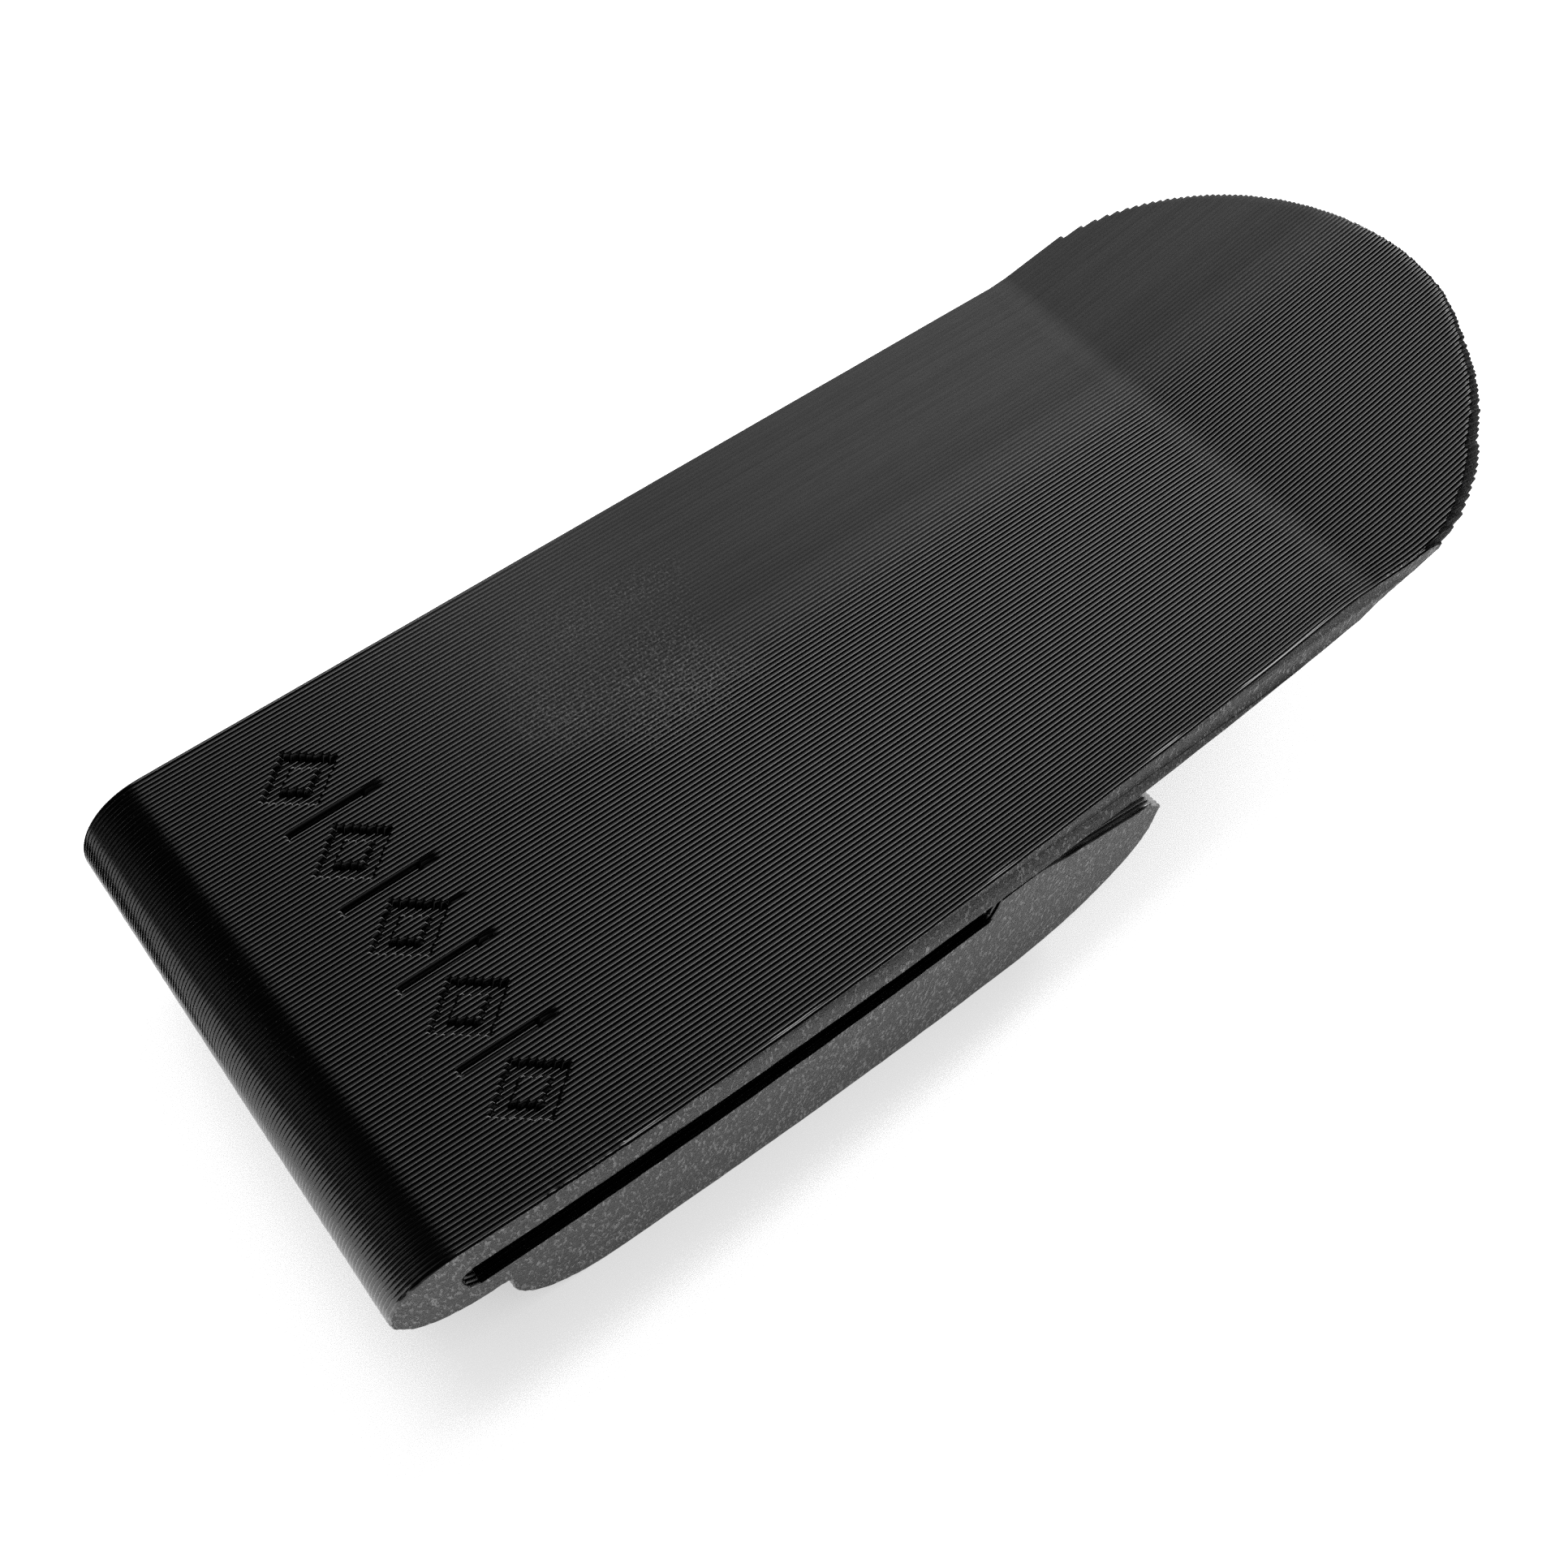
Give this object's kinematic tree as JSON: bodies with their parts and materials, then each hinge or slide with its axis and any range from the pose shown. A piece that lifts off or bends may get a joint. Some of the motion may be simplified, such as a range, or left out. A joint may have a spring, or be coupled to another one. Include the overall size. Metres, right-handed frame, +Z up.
{
  "type": "spring clip",
  "caption": "Flat black printed spring clip: broad plate with a raised half-round tip over a thick sprung arm, with a narrow slit between them.",
  "frame": {"origin": "under the middle of the whole clip, on the flat underside of the arm that it lies on", "axes": "+X from the bend to the raised tip, +Y across the width, +Z up from the arm to the front plate"},
  "size_m": [0.0646, 0.0246, 0.0153],
  "materials": {
    "black_print": "satin black printed filament with fine layer lines"
  },
  "bodies": {
    "arm": {"arm_leaf": "black_print", "grip_jaw": "black_print", "belly_heel": "black_print", "belly_pad": "black_print", "belly_nose": "black_print", "spring_bend": "black_print"},
    "plate": {"front_plate": "black_print", "raised_tip": "black_print"}
  },
  "joints": [
    {"name": "clip_open", "type": "hinge", "parent": "arm", "child": "plate", "pos_m": [-0.02896, 0, 0.0089], "axis": [0, -1, 0], "range_deg": [0, 6], "stiffness_Nm_per_rad": 12, "deforming": ["spring_bend"]}
  ]
}
